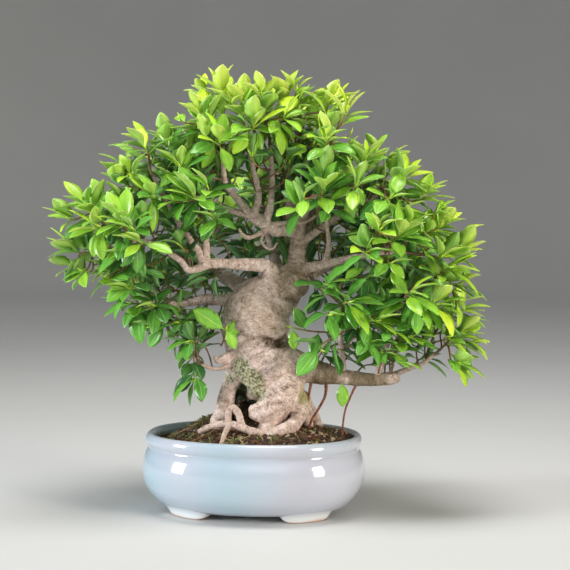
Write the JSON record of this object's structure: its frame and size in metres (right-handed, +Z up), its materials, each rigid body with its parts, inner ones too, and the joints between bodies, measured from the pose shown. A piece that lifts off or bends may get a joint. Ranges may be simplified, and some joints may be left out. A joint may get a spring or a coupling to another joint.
{
  "type": "chinese banyan bonsai",
  "caption": "Chinese banyan grown as a bonsai, with a swollen trunk, exposed roots and a leafy crown, in an oval glazed pot on four feet.",
  "frame": {"origin": "centre of the whole plant's box in plan, on the surface that the pot's feet stand on", "axes": "+Z up; X along the pot's long side, +Y towards the back; the tree's front faces -Y, turned 8 degrees towards +X"},
  "size_m": [0.427, 0.2886, 0.4443],
  "materials": {
    "pot_glaze": "glossy pale blue-white glaze on stoneware, thin and pinkish at the feet",
    "soil": "moist dark potting soil with bark bits and moss",
    "screen_plastic": "dark plastic mesh",
    "bark": "tan-grey bark, finely wrinkled",
    "foliage": "smooth waxy green leaves on thin brown shoots"
  },
  "bodies": {
    "root": {"pot": "pot_glaze", "soil": "soil", "drain_screen_left": "screen_plastic", "drain_screen_right": "screen_plastic", "wood": "bark", "spray_01": "foliage", "spray_02": "foliage", "spray_03": "foliage", "spray_04": "foliage", "spray_05": "foliage", "spray_06": "foliage", "spray_07": "foliage", "spray_08": "foliage", "spray_09": "foliage", "spray_10": "foliage", "spray_11": "foliage", "spray_12": "foliage", "spray_13": "foliage", "spray_14": "foliage", "spray_15": "foliage", "spray_16": "foliage", "spray_17": "foliage", "spray_18": "foliage", "spray_19": "foliage", "spray_20": "foliage", "spray_21": "foliage", "spray_22": "foliage", "spray_23": "foliage", "spray_24": "foliage", "spray_25": "foliage", "spray_26": "foliage", "spray_27": "foliage", "spray_28": "foliage", "spray_29": "foliage", "spray_30": "foliage", "spray_31": "foliage", "spray_32": "foliage", "spray_33": "foliage", "spray_34": "foliage", "spray_35": "foliage", "spray_36": "foliage", "spray_37": "foliage", "spray_38": "foliage", "spray_39": "foliage", "spray_40": "foliage", "spray_41": "foliage", "spray_42": "foliage", "spray_43": "foliage", "spray_44": "foliage", "spray_45": "foliage", "spray_46": "foliage", "spray_47": "foliage", "spray_48": "foliage"}
  },
  "joints": []
}
